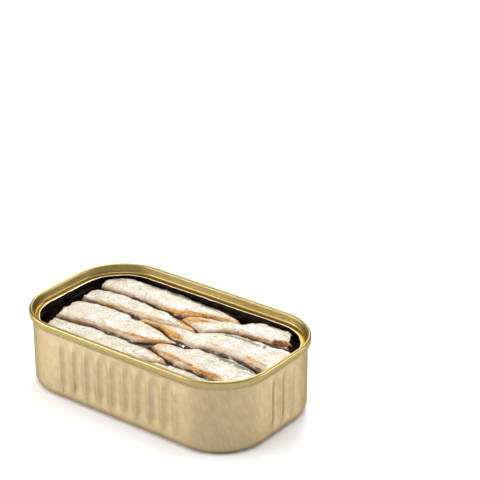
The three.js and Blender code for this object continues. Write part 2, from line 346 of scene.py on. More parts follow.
panel_edge = foot_inset + foot_width
panel_and_foot = fine([[panel_inset, panel_rise], [panel_edge + 0.5, panel_rise], [panel_edge, 0]], 2.5)
base_edge = arc((foot_inset, base_radius), -base_radius, 90, 0, 10)
outer_wall = fine([[wall_inset, base_radius + 0.3], [wall_inset, neck_foot]], 0.42)
flange = fine([
    [wall_inset - 0.15, neck_foot + 0.5],
    [flange_inset, neck_head],
    [flange_inset, flange_top],
    [flange_inset + sheet, flange_top],
], 0.5)
inner_wall = fine([
    [flange_inset + sheet, neck_head],
    [inner_face, neck_foot],
    [inner_face, 4.2],
], 0.5)
inner_base = fine([
    [inner_face + 0.6, 2.2],
    [foot_inset + sheet, panel_rise + 0.4],
    [panel_inset, panel_rise + 0.4],
], 1.6)
can_profile = np.concatenate([
    panel_and_foot, [[foot_inset + 0.4, 0]], base_edge, outer_wall, flange, inner_wall, inner_base
])
can_grid, can_normal, can_travelled = swept(can_profile, 820)
on_wall = (can_profile[:, 0] < inner_face + 0.02) & (can_profile[:, 1] < neck_foot + 0.1)
dents = 0.05 * ripple(can_grid, 26, 3)
relief = (rib_relief_at(can_grid, can_normal) + dents) * on_wall[:, None]
can_grid[..., :2] += can_normal[None] * relief[..., None]
print("points in the can's profile:", len(can_profile))

# %% [markdown]
# ## What the can's points carry
# A finish knows where a point is, and not much else. Painting a mask on the mesh would tell it
# more. Here four numbers on each point do: whether it is inside the can, how far round the tin it
# is, whether it is on a corner, and how dark it is made by scratches in the lacquer and by the
# painted shade of one dent.

# %% Mark the inside, the corners, the scratches and a dent's painted shade
Mark = namedtuple("Mark", "x height half_length half_height")
# The first mark, high on the wall under the seam, is a dent, and its dark line is painted shade. The
# other three are scratches near the base.
marks = [
    Mark(18, 25.4, 3.2, 0.16),
    Mark(-26, 4.4, 0.22, 1.3),
    Mark(-20, 7, 0.22, 2.0),
    Mark(-14, 4.2, 0.22, 1.1),
]
on_front = can_grid[..., 1] < -tin_width / 2 + 1.9
scratches_and_dent_shade = np.zeros(can_grid.shape[:2])
for mark in marks:
    lengthwise = (can_grid[..., 0] - mark.x) / mark.half_length
    upwards = (can_grid[..., 2] - mark.height) / mark.half_height
    scratches_and_dent_shade += np.exp(-lengthwise ** 2 - upwards ** 2) * on_front

# The count round the tin jumps on the left end's wall, which faces away from the camera.
around_start = round(0.45 * len(can_travelled))
around = np.roll(can_travelled, -around_start)
corner = np.minimum(np.abs(can_normal[:, 0]), np.abs(can_normal[:, 1])) > 0.001
past_flange = np.cumsum(can_profile[:, 1] >= flange_top - 0.01) > 0
can = add_tube("can_shell", can_grid, {
    "inside": past_flange[:, None].astype(float),
    "around": around,
    "corner": corner.astype(float),
    "scratches_and_dent_shade": scratches_and_dent_shade,
})

# %% [markdown]
# ## The seamed rim
# The lid was folded over the can's flange and rolled tight. Tearing it open leaves that fold, the
# wall inside it and a narrow ledge with a cut edge. All of it is one profile with no gaps, and the
# edge wanders a little, as a torn edge does.

# %% The seam and the ledge
seam = 1.56
lid_sheet = 0.34
ledge_height = 26.4
ledge_inset = 3.95
half_seam = seam / 2
crown_centre = (half_seam, tin_height - half_seam)

skirt = [[0.3, 27.46], [0.14, 27.5], [0.04, 27.62], [0, 27.9], [0, 28.6]]
crown = arc(crown_centre, half_seam, 180, 0, 17)
seam_inside = [[seam + 0.03, 28.7], [seam + 0.06, 28.3], [seam + 0.1, 27.7], [seam + 0.17, 27.3]]
fold = arc((seam + 0.92, 27.22), 0.75, 180, 262, 7)
ledge = fine([[seam + 0.95, ledge_height + 0.06], [ledge_inset - 0.12, ledge_height + 0.03]], 0.25)
torn_edge = arc((ledge_inset - 0.12, ledge_height - 0.1), 0.12, 80, -80, 5)
ledge_under = [[ledge_inset - 0.15, ledge_height - 0.23], [seam + 0.9, ledge_height - 0.2]]
fold_under = arc((seam + 0.9, 27.2), 1.0, 262, 180, 6)
crown_under = arc(crown_centre, half_seam - lid_sheet, 0, 180, 9)
skirt_under = [[lid_sheet, 28.3], [lid_sheet + 0.02, 27.6]]
rim_profile = np.concatenate([
    skirt, crown, seam_inside, fold, ledge, torn_edge,
    fine(ledge_under, 0.4), fold_under, [[seam - 0.2, 28.3]], crown_under, skirt_under,
])

rim_grid, rim_normal = swept(rim_profile, 560)[:2]
edge_share = soft_step(rim_profile[:, 0], ledge_inset - 1.2, ledge_inset)[:, None]
wander = 0.07 * ripple(rim_grid, 5, 8) + 0.05 * ripple(rim_grid, 1.6, 9)
rim_grid[..., :2] += rim_normal[None] * (edge_share * wander)[..., None]
rim_grid[..., 2] += 0.05 * edge_share * ripple(rim_grid, 7, 10)
ledge_share = soft_step(rim_profile[:, 0], seam + 0.1, seam + 0.9)[:, None]
rim = add_tube("seamed_rim", rim_grid, {"ledge": ledge_share, "cut": edge_share ** 4}, ring=True)

# %% [markdown]
# ## How the sardines lie
# Eight fish lie head to tail in pairs. They could be dropped in as soft bodies and left to settle,
# but each of them has a known place, so a list of their measures is surer. A fish's spine is a
# parabola through three places, and its body narrows towards the tail.

# %% The sardines' places
# The cut and the tail are places along the tin, and the spine's three places are across it. The
# body is the share of the length before the thin tail, and the slant turns the cut face.
Sardine = namedtuple(
    "Sardine", "name cut tail at_cut at_middle at_tail half_width crown depth body slant"
)
sardines = [
    Sardine("sardine_left_1", -46.2, 16.5, 19.5, 22, 22.3, 6.8, 25.55, 11.5, 1.0, -0.25),
    Sardine("sardine_right_1", 39.5, -4.5, 21.8, 19.8, 12.8, 6.2, 25.5, 10.5, 1.0, -0.5),
    Sardine("sardine_left_2", -44.6, 7.0, 7.8, 8.7, 7.2, 5.8, 25.3, 11.5, 1.0, 0.1),
    Sardine("sardine_right_2", 48.6, -16.5, 6.6, 6.4, 2.6, 9.0, 25.6, 12.0, 0.85, 0.0),
    Sardine("sardine_left_3", -43.2, 11.5, -6.6, -3.8, -4.6, 9.0, 25.6, 12.0, 0.85, -0.12),
    Sardine("sardine_right_3", 46.5, 0.0, -11.5, -7.7, -9.6, 7.4, 25.5, 11.5, 1.0, 0.15),
    Sardine("sardine_left_4", -39.8, 12.5, -21.6, -18.8, -16.6, 7.2, 25.3, 11.0, 1.0, -0.25),
    Sardine("sardine_right_4", 40.0, 1.0, -24.8, -22.4, -23.4, 5.4, 25.2, 11.0, 1.0, 0.2),
]
tail_half_width = 1.1


def fish_at(fish, x):
    """A sardine's spine, free half width, fullness and the distance past its end, along x.

    The fullness is 1 less the cube of the share of the body travelled. The free half width falls
    with it from the body's to the tail's, and is up to a tenth less near the cut.
    """
    share = (x - fish.cut) / (fish.tail - fish.cut)
    past = np.maximum(np.maximum(-share, share - 1), 0) * abs(fish.tail - fish.cut)
    t = np.clip(share, 0, 1)
    spine = fish.at_cut * (1 - t) * (1 - 2 * t)
    spine = spine + fish.at_middle * 4 * t * (1 - t) + fish.at_tail * t * (2 * t - 1)
    full = 1 - np.minimum(1, t / fish.body) ** 3
    neck = 1 - 0.1 * np.maximum(0, 1 - t / 0.25) ** 2
    return spine, tail_half_width + (fish.half_width - tail_half_width) * full * neck, full, past


for fish in sardines:
    print(fish.name, "is", round(abs(fish.tail - fish.cut)), "mm long")

# %% [markdown]
# ## How they share the space
# Packed fish press each other out of shape. Modelling that by hand would leave gaps and crossings.
# Here two fish that would cross meet at an edge between their spines, and a fish with room in
# front of it spreads forwards. The lesser of two edges is taken with the corner rounded off,
# because soft bodies have no sharp kinks.

# %% Share the space between the fish
inner_inset = inner_face + rib_relief + 0.05
fish_gap = 0.05
yield_start = 1.5
yield_slope = 0.9
most_spread = 5.5
wall_softness = 0.3
fish_softness = 0.25


def soft_least(a, b, softness):
    """The lesser of two values, with the corner where they cross rounded off."""
    return -softness * np.logaddexp(-a / softness, -b / softness)


def wall_across(x):
    """How far from the tin's middle line the can's inner face is, at a place along the tin."""
    radius = corner_radius - inner_inset
    beyond = np.clip(np.abs(x) - flat_x, 0, radius)
    return flat_y + np.sqrt(radius ** 2 - beyond ** 2)


def back_edge(order, x):
    """How far back a sardine reaches: its free edge, the wall, or its share of the space between
    its spine and that of one behind it."""
    spine, half_width = fish_at(sardines[order], x)[:2]
    back = soft_least(spine + half_width, wall_across(x), wall_softness)
    for fish in sardines[:order]:
        other, other_half, _, other_past = fish_at(fish, x)
        edge = spine + (other - spine) * half_width / (half_width + other_half)
        room = yield_slope * np.maximum(0, other_past - yield_start) - fish_gap / 2
        back = soft_least(back, edge + room, fish_softness)
    return back


def fish_edges(order, x):
    """The back and front edge of a sardine, and its fullness. It gives way to those in front of
    it, and spreads towards them where they leave it room, though its thin tail hardly does."""
    spine, half_width, full, _ = fish_at(sardines[order], x)
    spread = most_spread * np.minimum(1, (1.7 * full) ** 2)
    front = soft_least(half_width + spread - spine, wall_across(x), wall_softness)
    for place in range(order + 1, len(sardines)):
        past = fish_at(sardines[place], x)[3]
        edge = back_edge(place, x) + fish_gap - yield_slope * np.maximum(0, past - yield_start)
        front = soft_least(front, -edge, fish_softness)
    return back_edge(order, x), -front, full


print(f"the inner wall is {wall_across(0):.2f} mm from the middle line")

# %% [markdown]
# ## A sardine's body
# A pressed sardine's section is squarer than an ellipse, so it is a superellipse. Its sections
# stand along the fish from the cut to the tail. They are as wide as the fish's share of the space,
# sink with the thinning tail, and shrink to nothing over the last two millimetres.

# %% The sections of a sardine
along_count = 300
around_count = 132
section_power = 3.2
tail_drop = 1.6
tip_length = 2.2


def pressed_section():
    """The superellipse's share across and share up at each place round it. The angles crowd
    towards its sides, where its points would stand too far apart."""
    angle = np.linspace(0, 2 * np.pi, around_count, endpoint=False)
    angle = angle - 0.28 * np.sin(2 * angle) / 2
    across = np.sign(np.cos(angle)) * np.abs(np.cos(angle)) ** (2 / section_power)
    up = np.sign(np.sin(angle)) * np.abs(np.sin(angle)) ** (2 / section_power)
    return across, up


section_across, section_up = pressed_section()


def smooth_body(order):
    """A sardine's sections before its skin is wrinkled, with the height of its crown, its
    fullness and what the blunt tip leaves of it, all along its length."""
    fish = sardines[order]
    t = np.linspace(0, 1, along_count)
    t = t + 0.06 * np.sin(2 * np.pi * t) / (2 * np.pi)
    x = fish.cut + (fish.tail - fish.cut) * t
    back, front, full = fish_edges(order, x)
    spine = (back + front) / 2
    tip = np.sqrt(np.clip((1 - t) * abs(fish.tail - fish.cut) / tip_length, 0, 1))
    half_width = np.maximum((back - front) / 2, 0.5) * tip
    half_depth = fish.depth / 2 * (0.3 + 0.7 * full ** 0.6)
    sway = 0.12 * (np.sin((x / 23 + order * 0.37) * 2 * np.pi) - 1)
    crown = fish.crown + sway - tail_drop * (1 - full)
    middle = crown - half_depth
    half_depth = half_depth * tip
    grid = np.stack([
        np.broadcast_to(x[:, None], (along_count, around_count)),
        spine[:, None] + section_across * half_width[:, None],
        middle[:, None] + section_up * half_depth[:, None],
    ], -1)
    return grid, crown, full, tip


print("a sardine has", along_count, "sections of", around_count, "points")

# %% [markdown]
# ## Where the fish are stained
# The fish are golden where their skin is rubbed through, brown at tears, and blue-grey along their
# backs. Noise alone would put these anywhere, so each is a bell over an ellipse of its own. The
# ellipses lie in a level plane just above the ledge, and a point belongs where its line to the
# camera meets that plane. Loose folds of skin are ellipses too, seen from straight above.

# %% Place the stains and the folds
stain_plane = 26.5
line_of_sight = away / away[2]

Patch = namedtuple("Patch", "fish x y half_length half_width tilt strength")
gold = [
    (0, 1.4, 12.9, 8.5, 2.2, 19, 3.0),
    (0, 15, 18.4, 5, 1.5, 18, 1.0),
    (0, -25, 9, 11, 1.0, 6, 1.0),
    (0, -41, 9, 3, 2.0, -40, 0.9),
    (2, -30.5, -1, 5.5, 1.5, 8, 1.8),
    (2, 3.5, 5.8, 6.5, 2.0, -14, 2.4),
    (2, -8, 2, 8, 0.9, 6, 1.0),
    (4, -25, -18, 6.5, 1.5, -2, 1.8),
    (4, -3.5, -13.2, 7, 1.4, 5, 1.6),
    (4, 8, -6.6, 7, 1.6, -12, 1.8),
    (1, 4.5, 9.4, 6.5, 1.6, 24, 2.2),
    (1, 18, 11.5, 7, 0.8, -2, 0.8),
    (1, 33, 12.2, 6.5, 1.1, 12, 1.8),
    (1, 38.5, 19.5, 1.8, 0.8, -60, 1.0),
    (3, 0, -3, 9, 1.5, -16, 1.6),
    (3, 7.5, -4.4, 4, 2.0, -20, 1.5),
    (3, 38.7, -1.6, 3, 1.2, -10, 1.4),
    (3, 44.5, -2.6, 3, 0.9, -5, 1.2),
    (3, 43, 0.5, 3, 0.5, -16, 1.2),
    (3, 42.5, 6, 4.5, 2.6, -15, 0.5),
    (5, 15.5, -17.4, 6, 1.2, -6, 1.6),
    (5, 26, -19.2, 7, 1.0, -14, 1.4),
    (5, 34.4, -20.2, 4.5, 1.8, 8, 2.6),
    (6, 10, -19.4, 7, 1.6, -6, 1.6),
    (6, -18, -24, 9, 0.9, 6, 0.7),
    (2, -18, 1.6, 7, 0.8, 4, 1.1),
    (4, -16, -14.6, 6, 0.9, 6, 1.0),
    (3, 24, -5.4, 7, 0.8, -6, 1.0),
    (0, -10, 10.6, 7, 0.8, 8, 0.9),
]
grey = [
    (0, -22, 22.2, 9, 1.0, 0, 1.3),
    (0, -9, 22.0, 8, 1.1, -1, 1.6),
    (0, 4, 20.6, 7, 0.9, -8, 1.4),
    (3, 20, 7.8, 9, 0.8, 2, 1.5),
    (3, 32, 8.2, 6, 0.8, 0, 1.5),
    (5, 32, -7.9, 8, 1.2, -6, 1.6),
    (5, 42, -9.2, 5, 1.2, -8, 1.6),
    (2, -33, 4.2, 1.6, 0.5, -40, 0.7),
    (6, 2, -19.2, 5, 1.0, -12, 0.6),
]
brown = [
    (3, 37.9, 7.7, 2.3, 0.5, -80, 1.6),
    (3, 45.7, -6.3, 1.6, 0.7, -10, 1.8),
    (3, 20.5, -4.4, 0.8, 0.4, 0, 1.0),
    (4, -9, -13.6, 1.6, 0.3, 12, 1.2),
    (2, -2, 3.4, 2.2, 0.25, -8, 1.2),
    (3, 9, 1.8, 1.6, 0.25, -20, 1.0),
    (5, 24.8, -18.4, 1.4, 0.6, 10, 1.4),
]
stains = {"gold": gold, "grey": grey, "brown": brown}
folds = [
    Patch(3, 43.5, 9, 6.5, 4.4, 5, 0.6),
    Patch(3, 46, 1, 5, 2.4, -20, 0.35),
    Patch(1, 38, 23, 2.5, 2.0, 20, 0.3),
]


def patch_distance(patch, points):
    """How far each point is from a patch's middle, as a share of the ellipse that bounds it."""
    turn = np.radians(patch.tilt)
    dx = points[..., 0] - patch.x
    dy = points[..., 1] - patch.y
    long = (dx * np.cos(turn) + dy * np.sin(turn)) / patch.half_length
    wide = (dy * np.cos(turn) - dx * np.sin(turn)) / patch.half_width
    return np.hypot(long, wide)


def stain_fields(order, points):
    """How strong each stain is at each point: a bell over an ellipse in the stains' plane, on
    which a point is shifted along the line that leads to the camera."""
    seen = points + line_of_sight * (stain_plane - points[..., 2])[..., None]
    fields = {kind: np.zeros(points.shape[:-1]) for kind in stains}
    for kind, rows in stains.items():
        for patch in (Patch(*row) for row in rows if row[0] == order):
            fields[kind] += patch.strength * np.exp(-patch_distance(patch, seen) ** 2)
    return fields


print(len(gold + grey + brown), "stains and", len(folds), "folds of skin")

# %% [markdown]
# ## A sardine's skin
# The skin is wrinkled along its length, the flesh under it is lumpy, and a few folds of skin have
# come loose near the cuts. A displacement texture could do this at render time, but here the
# points themselves are moved along the surface's normal, so that the relief is part of the model.

# %% Wrinkle the skin
def surface_normals(grid):
    """The normal at each point of a grid of closed sections: the cross product of the steps along
    it and round it, brought to length 1."""
    along = np.gradient(grid, axis=0)
    around = np.roll(grid, -1, 1) - np.roll(grid, 1, 1)
    normal = np.cross(along, around)
    return normal / np.maximum(np.linalg.norm(normal, axis=-1, keepdims=True), 1e-9)


def skin_relief(order, grid, fade):
    """How far each point of a smooth body moves out: lumps, wrinkles that are long because their
    noise is squeezed along the fish, and the folds on its upper side."""
    squeezed = grid * [0.22, 1, 1] + order * 50
    lumps = 0.16 * ripple(grid + order * 31, 8, 20 + order) + 0.1 * ripple(grid, 3.4, 40 + order)
    wrinkles = 0.1 * ripple(squeezed, 1.6, 60 + order) + 0.05 * ripple(squeezed, 0.8, 80 + order)
    flaps = np.zeros(grid.shape[:2])
    for patch in folds:
        if patch.fish == order:
            edge = patch_distance(patch, grid) + 0.06 * ripple(grid, 3, 180)
            flaps += patch.strength * (1 - soft_step(edge, 0.9, 1.0)) * np.clip(edge, 0.5, 1)
    return (lumps + wrinkles - 0.12) * fade + flaps * (section_up > 0)


def wrinkled(order, grid, fade):
    """A smooth body with its relief. The normals at its middle tell which way is out."""
    normal = surface_normals(grid)
    if (normal[along_count // 2, :, 2] * section_up).sum() < 0:
        normal = -normal
    return grid + normal * skin_relief(order, grid, fade)[..., None]


# %% [markdown]
# ## The cut end
# The knife leaves a slanting, ragged end, and the flesh bulges out of it a little. The sections
# next to the cut are slanted, frayed and drawn in to a lip, and rings that shrink towards the
# middle close the face. A Boolean cut would be quite flat, and the real ones are not.

# %% Cut the end
cap_rows = 12
slant_reach = 9
fray_reach = 2.5
lip_reach = 0.8


def with_cut_end(order, grid, from_cut):
    """Shapes the sections near the cut and puts the rings of the cut face in front of them."""
    fish = sardines[order]
    heading = np.sign(fish.tail - fish.cut)
    ragged = 0.5 * ripple(grid[0], 4, 100 + order) + 0.3 * ripple(grid[0], 1.3, 120 + order)
    slant = np.exp(-from_cut / slant_reach) * fish.slant * (grid[..., 1] - fish.at_cut)
    fray = heading * np.exp(-from_cut / fray_reach) * (ragged[None] * 0.6 - 0.3)
    grid[..., 0] += slant - fray
    shrink = 1 - 0.05 * np.exp(-from_cut / lip_reach)
    centre = grid.mean(1, keepdims=True)
    grid[..., 1:] = centre[..., 1:] + (grid[..., 1:] - centre[..., 1:]) * shrink[..., None]
    rings = np.linspace(0.96, 0.04, cap_rows)[:, None, None]
    face = centre[:1] + (grid[:1] - centre[:1]) * rings
    inwards = 1 - rings[..., 0]
    rough = 0.35 * ripple(face, 2.2, 140 + order) + 0.18 * ripple(face, 0.9, 160 + order)
    face[..., 0] += heading * (inwards * 0.9 + rough * inwards ** 0.3 - 0.2)
    return np.concatenate([face[::-1], grid])


def kept_inside(points):
    """Draws each point that is beyond the can's inner face back onto it: no point may be further
    than the inner corner's radius from the flat oblong between the corners' centres."""
    core = np.clip(points[..., :2], [-flat_x, -flat_y], [flat_x, flat_y])
    out = points[..., :2] - core
    reach = np.maximum(np.linalg.norm(out, axis=-1, keepdims=True), 1e-9)
    inside = core + out * np.minimum(1, (corner_radius - inner_inset) / reach)
    return np.concatenate([inside, points[..., 2:]], -1)


# %% [markdown]
# ## From sections to fish
# Each fish becomes one closed mesh. Its points carry more than the stains for the finish to use:
# how far they are below the crown, from the cut and round the body, how full the fish is there,
# and whether they are bare flesh.

# %% Build the sardines
def sardine(order):
    """The points of one sardine and the numbers they carry. The rings of the cut face come first,
    and they are bare flesh."""
    fish = sardines[order]
    smooth, crown, full, tip = smooth_body(order)
    from_cut = np.abs(smooth[..., 0] - fish.cut)
    fade = (0.25 + 0.75 * full)[:, None] * tip[:, None]
    points = kept_inside(with_cut_end(order, wrinkled(order, smooth, fade), from_cut))
    face = np.zeros((cap_rows, around_count))
    fields = stain_fields(order, points)
    ridge = np.concatenate([np.full(cap_rows, crown[0]), crown])
    fields["below_ridge"] = ridge[:, None] - points[..., 2]
    fields["flesh"] = np.concatenate([face + 1, np.exp(-(from_cut / 0.6) ** 2)])
    fields["from_cut"] = np.concatenate([face, from_cut])
    fields["flank"] = np.concatenate([face, np.broadcast_to(section_across, from_cut.shape)])
    fields["fullness"] = np.concatenate([face + 1, np.broadcast_to(full[:, None], from_cut.shape)])
    return points, fields


fish_pieces = []
for order, fish in enumerate(sardines):
    fish_points, fish_fields = sardine(order)
    fish_pieces.append(add_tube(fish.name + "_skin", fish_points, fish_fields))

# %% [markdown]
# ## A strip of gut
# A dark strip of gut lies by the belly of the first fish on the right. It could be one more stain,
# but it stands proud of the skin and throws a shadow. So it is a small body of round sections
# along a bent line, swelling and narrowing by a sine.

# %% Lay the gut strip down
gut_middle = (38.9, 17.4, 24.7)
gut_half_size = (3.9, 1.3, 1.0)
gut_turn = np.linspace(0, 2 * np.pi, 40, endpoint=False)
gut_along = np.linspace(-1, 1, 60)[:, None]
gut_round = np.sqrt(np.clip(1.001 - np.abs(gut_along) ** 3, 0, 1))
gut_girth = gut_round * (1 + 0.16 * np.sin(7 * gut_along + 1))
gut_bend = 0.5 * gut_along + 0.2 * np.sin(4 * gut_along)
gut_sag = -0.3 * gut_along ** 2
gut_grid = np.stack([
    gut_middle[0] + gut_half_size[0] * gut_along + 0 * gut_turn,
    gut_middle[1] + gut_bend + gut_half_size[1] * gut_girth * np.cos(gut_turn),
    gut_middle[2] + gut_sag + gut_half_size[2] * gut_girth * np.sin(gut_turn),
], -1)
gut_grid += surface_normals(gut_grid) * 0.08 * ripple(gut_grid, 1.6, 200)[..., None]
gut = add_tube("gut_strip", gut_grid)

# %% [markdown]
# ## The oil
# Oil creeps up whatever it wets, so its surface is flat only away from the fish and the wall. The
# rise dies away with distance, by half in about a millimetre. That curve is what catches the light
# in the narrow gaps. The oil is a slab whose upper face has this height at each place.

# %% The oil's surface
oil_level = 21.0
oil_bottom = 4.6
creep = 2.2
creep_length = 1.3
width_at_oil = 0.93


def oil_surface(rows=230, columns=330):
    """The oil's upper face: the level, plus the creep times exp(-distance / length) to whichever
    fish or wall is nearest. The columns crowd towards the tin's two ends."""
    reach = tin_length / 2 - inner_inset - 0.1
    x = reach * np.sin(np.linspace(-np.pi / 2, np.pi / 2, columns))
    x = 0.6 * x + 0.4 * np.linspace(-reach, reach, columns)
    y = np.linspace(-1, 1, rows)[:, None] * (wall_across(x) - 0.1)
    x = np.broadcast_to(x, y.shape)
    past_flat = np.hypot(np.maximum(np.abs(x) - flat_x, 0), np.maximum(np.abs(y) - flat_y, 0))
    to_wall = corner_radius - inner_face - past_flat
    nearest = np.maximum(to_wall, 0)
    for order, fish in enumerate(sardines):
        back, front = fish_edges(order, x[0])[:2]
        past = fish_at(fish, x - fish.slant * (y - fish.at_cut))[3]
        aside = np.abs(y - (back + front) / 2) - width_at_oil * (back - front) / 2
        nearest = np.minimum(nearest, np.hypot(np.maximum(aside, 0), past))
    surface = np.stack([x, y, np.full(x.shape, oil_level)], -1)
    uneven = 0.75 + 0.3 * ripple(surface, 16, 210)
    surface[..., 2] += creep * uneven * np.exp(-nearest / creep_length)
    return surface, nearest


def add_slab(name, top, bottom, field, values):
    """A closed piece under a grid: the grid, a flat copy of it at the bottom, and the sides that
    join their borders. Both faces carry the same values of one field."""
    rows, columns = top.shape[:2]
    under = top.copy()
    under[..., 2] = bottom
    points = np.concatenate([top.reshape(-1, 3), under.reshape(-1, 3)])
    number = np.arange(rows * columns).reshape(rows, columns)
    border = np.concatenate([number[0, :-1], number[:-1, -1], number[-1, :0:-1], number[:0:-1, 0]])
    onward = np.roll(border, -1)
    upper = strips(rows, columns, wrap_columns=False)
    sides = np.stack([border, border + rows * columns, onward + rows * columns, onward], 1)
    faces = [np.concatenate([upper, upper[:, ::-1] + rows * columns, sides])]
    return add_mesh(name, points, faces, {field: np.concatenate([values.ravel()] * 2)})


oil_top, wetted = oil_surface()
oil = add_slab("oil_pool", oil_top, oil_bottom, "wetted", wetted)

# %% [markdown]
# ## Shader maths in Python
# A material is a net of nodes, and a long one is hard to follow as code that links socket to
# socket. A small class wraps a socket so that a sum or a product of two of them adds the node
# that works it out, and every other node comes from one method.

# %% Write materials as expressions
class Wire:
    """An output socket. Arithmetic with it adds a Math node and gives that node's output."""

    def __init__(self, finish, socket):
        self.finish = finish
        self.socket = socket

    def math(self, operation, first, second):
        return self.finish.node("ShaderNodeMath", {"operation": operation}, {0: first, 1: second})

    def __add__(self, other):
        return self.math("ADD", self, other)

    def __sub__(self, other):
        return self.math("SUBTRACT", self, other)

    def __rsub__(self, other):
        return self.math("SUBTRACT", other, self)

    def __mul__(self, other):
        return self.math("MULTIPLY", self, other)

    __radd__ = __add__


class Finish:
    """One material with its nodes. Its Principled shader takes what the surface is given."""

    def __init__(self, name):
        self.material = bpy.data.materials.new(name)
        self.material.use_nodes = True
        self.nodes = self.material.node_tree.nodes
        self.links = self.material.node_tree.links
        self.shader = self.nodes["Principled BSDF"]

    def node(self, kind, settings=None, sockets=None, output=0):
        """Adds a node, makes its settings, fills its sockets and gives one of its outputs."""
        node = self.nodes.new(kind)
        for setting, value in (settings or {}).items():
            setattr(node, setting, value)
        self.fill(node, sockets or {})
        return Wire(self, node.outputs[output])

    def fill(self, node, sockets):
        """Links each socket that gets a wire, and sets each that gets a value."""
        for name, value in sockets.items():
            if isinstance(value, Wire):
                self.links.new(value.socket, node.inputs[name])
            else:
                node.inputs[name].default_value = value

    def surface(self, **sockets):
        """Fills sockets of the Principled shader, with _ for each space of a name."""
        self.fill(self.shader, {name.replace("_", " "): value for name, value in sockets.items()})

    def place(self, scale=(1, 1, 1)):
        """The point on the piece in millimetres, stretched along each axis."""
        spot = self.node("ShaderNodeTexCoord", output="Object")
        stretch = [side / MM for side in scale]
        return self.node("ShaderNodeVectorMath", {"operation": "MULTIPLY"}, {0: spot, 1: stretch})

    def noise(self, place, size, detail=3.0, roughness=0.55):
        """Cloudy noise of about 0 to 1, whose clouds are about as large as size."""
        sockets = {"Vector": place, "Scale": 1 / size, "Detail": detail, "Roughness": roughness}
        return self.node("ShaderNodeTexNoise", {}, sockets, "Fac")

    def field(self, name):
        """A value that the piece's points carry."""
        return self.node("ShaderNodeAttribute", {"attribute_name": name}, output="Fac")

    def step(self, value, low, high):
        """0 below low, 1 above high, and smooth between."""
        sockets = {"Value": value, "From Min": low, "From Max": high}
        return self.node("ShaderNodeMapRange", {"interpolation_type": "SMOOTHSTEP"}, sockets)

    def mix(self, share, first, second):
        """The first colour where the share is 0 and the second where it is 1."""
        sockets = {0: share, 6: first, 7: second}
        return self.node("ShaderNodeMix", {"data_type": "RGBA"}, sockets, 2)

    def bump(self, height, distance, strength):
        """A normal tilted by a height in millimetres times the distance."""
        sockets = {"Height": height, "Distance": distance * MM, "Strength": strength}
        return self.node("ShaderNodeBump", {}, sockets)


def colour(red, green, blue):
    """A colour given as it looks on a screen, from 0 to 255, turned into linear light."""
    share = np.array([red, green, blue]) / 255
    linear = np.where(share <= 0.04045, share / 12.92, ((share + 0.055) / 1.055) ** 2.4)
    return (*linear.tolist(), 1.0)


# %% [markdown]
# ## The gold lacquer
# The can is thin metal under a clear gold varnish. Rolling left fine lines along the sheet, and
# drawing stretched them down the corners. The lines are noise squeezed along one axis: they lie
# level on the flat sides, and stand upright where the wall turns. Lines too fine to draw still
# spread each highlight across themselves, so the shader is anisotropic, turned by a quarter.

# %% Lacquer the can
def gold_lacquer():
    finish = Finish("gold_lacquer")
    level_lines = finish.noise(finish.place((0.1, 0.1, 1.3)), 0.6, 4)
    height = finish.node("ShaderNodeSeparateXYZ", {}, {0: finish.place()}, "Z")
    round_tin = finish.field("around") + height * 0.35
    slanted = finish.node("ShaderNodeCombineXYZ", {}, {"X": round_tin, "Y": height * 0.12})
    drawn_lines = finish.noise(slanted, 0.7, 4)
    mottle = finish.noise(finish.place(), 3.2, 3)
    corner = finish.field("corner")
    grain = level_lines * 0.5 + drawn_lines * 0.5 + corner * (drawn_lines - level_lines) * 0.5
    tone = finish.step(grain * 0.6 + mottle * 0.4, 0.34, 0.66)
    base = finish.mix(tone, colour(171, 153, 118), colour(185, 168, 133))
    # The scratches are darkened, and so is the dent, where the dark colour is painted shade.
    base = finish.mix(finish.field("scratches_and_dent_shade") * 0.8, base, colour(84, 66, 44))
    # The inside of the can is painted near black and made mostly non-metallic: painted shade for the
    # dark hollow under the ledge.
    inside = finish.field("inside")
    base = finish.mix(inside, base, colour(34, 25, 14))
    finish.surface(Base_Color=base, Metallic=1.0 - inside * 0.8)
    brushed = finish.noise(finish.place((0.05, 0.05, 1)), 0.3, 2)
    drawn = finish.noise(slanted, 0.25, 2)
    brushed = brushed + corner * (drawn - brushed)
    finish.surface(Roughness=0.34 + grain * 0.12, Normal=finish.bump(brushed, 0.04, 0.7))
    finish.surface(Anisotropic=0.66, Anisotropic_Rotation=0.25)
    finish.surface(Specular_Tint=(0.55, 0.5, 0.42, 1))
    return finish.material


def gold_rim():
    finish = Finish("gold_rim")
    lines = finish.noise(finish.place((0.3, 0.3, 2)), 0.6, 3)
    cloudy = finish.step(finish.noise(finish.place(), 2.4, 3), 0.3, 0.7)
    skin = finish.mix(cloudy, colour(158, 142, 94), colour(166, 150, 102))
    shelf = finish.mix(cloudy, colour(144, 106, 30), colour(152, 114, 38))
    base = finish.mix(finish.field("ledge"), skin, shelf)
    base = finish.mix(finish.field("cut"), base, colour(226, 216, 186))
    finish.surface(Base_Color=base, Metallic=1.0)
    finish.surface(Roughness=0.34 + lines * 0.12, Normal=finish.bump(lines, 0.003, 0.3))
    finish.surface(Specular_Tint=(0.6, 0.54, 0.42, 1))
    return finish.material
